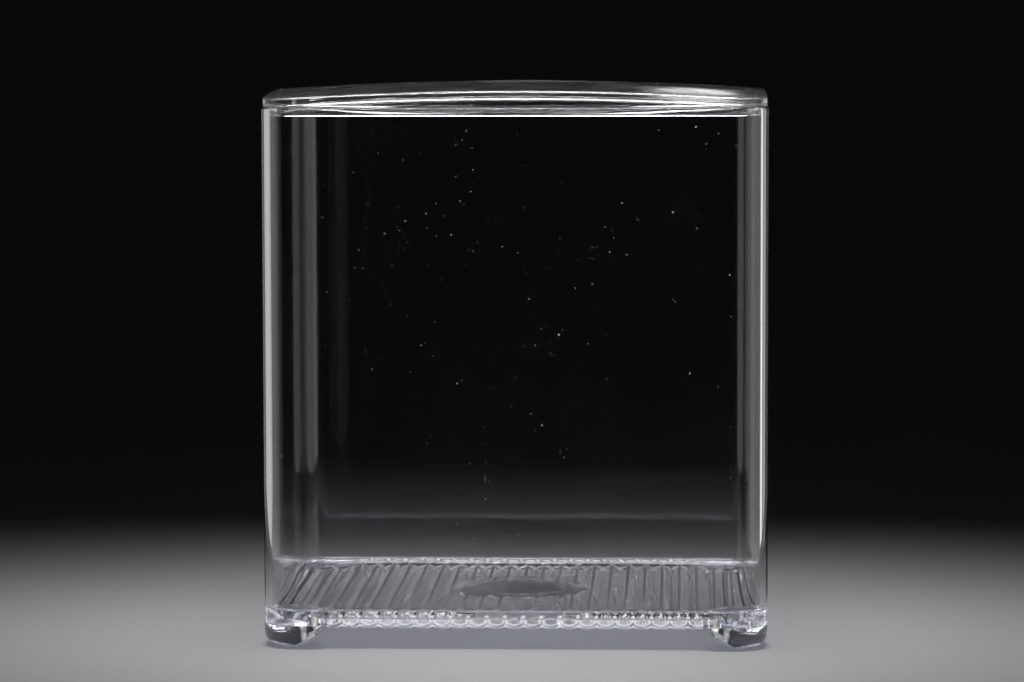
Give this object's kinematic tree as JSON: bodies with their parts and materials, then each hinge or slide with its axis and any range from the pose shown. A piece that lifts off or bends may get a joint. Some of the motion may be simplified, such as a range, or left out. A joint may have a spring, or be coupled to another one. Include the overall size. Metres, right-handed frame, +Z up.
{
  "type": "card deck box",
  "caption": "Clear box for a deck of sleeved cards, with rounded upright corners, a plug-in lid with a shallow dome, a reeded floor and dome feet.",
  "frame": {"origin": "middle of the resting plane, under the middle of the box", "axes": "+Z up through the lid, +X to the right along the width, +Y towards the back along the depth, front facing -Y"},
  "size_m": [0.1, 0.078, 0.1116],
  "materials": {
    "clear_box": "clear, polished, slightly cool, with fine rub marks and dust",
    "clear_lid": "clear, polished, with a faint gate mark and dust on top",
    "clear_foot": "clear, polished ball shape with a milky bond line on top"
  },
  "bodies": {
    "box": {"box_body": "clear_box", "foot_front_left": "clear_foot", "foot_front_right": "clear_foot", "foot_rear_left": "clear_foot", "foot_rear_right": "clear_foot"},
    "lid": {"lid": "clear_lid"}
  },
  "joints": [
    {"name": "lid_lift", "type": "slide", "parent": "box", "child": "lid", "axis": [0, 0, 1], "range_m": [0, 0.04]}
  ]
}
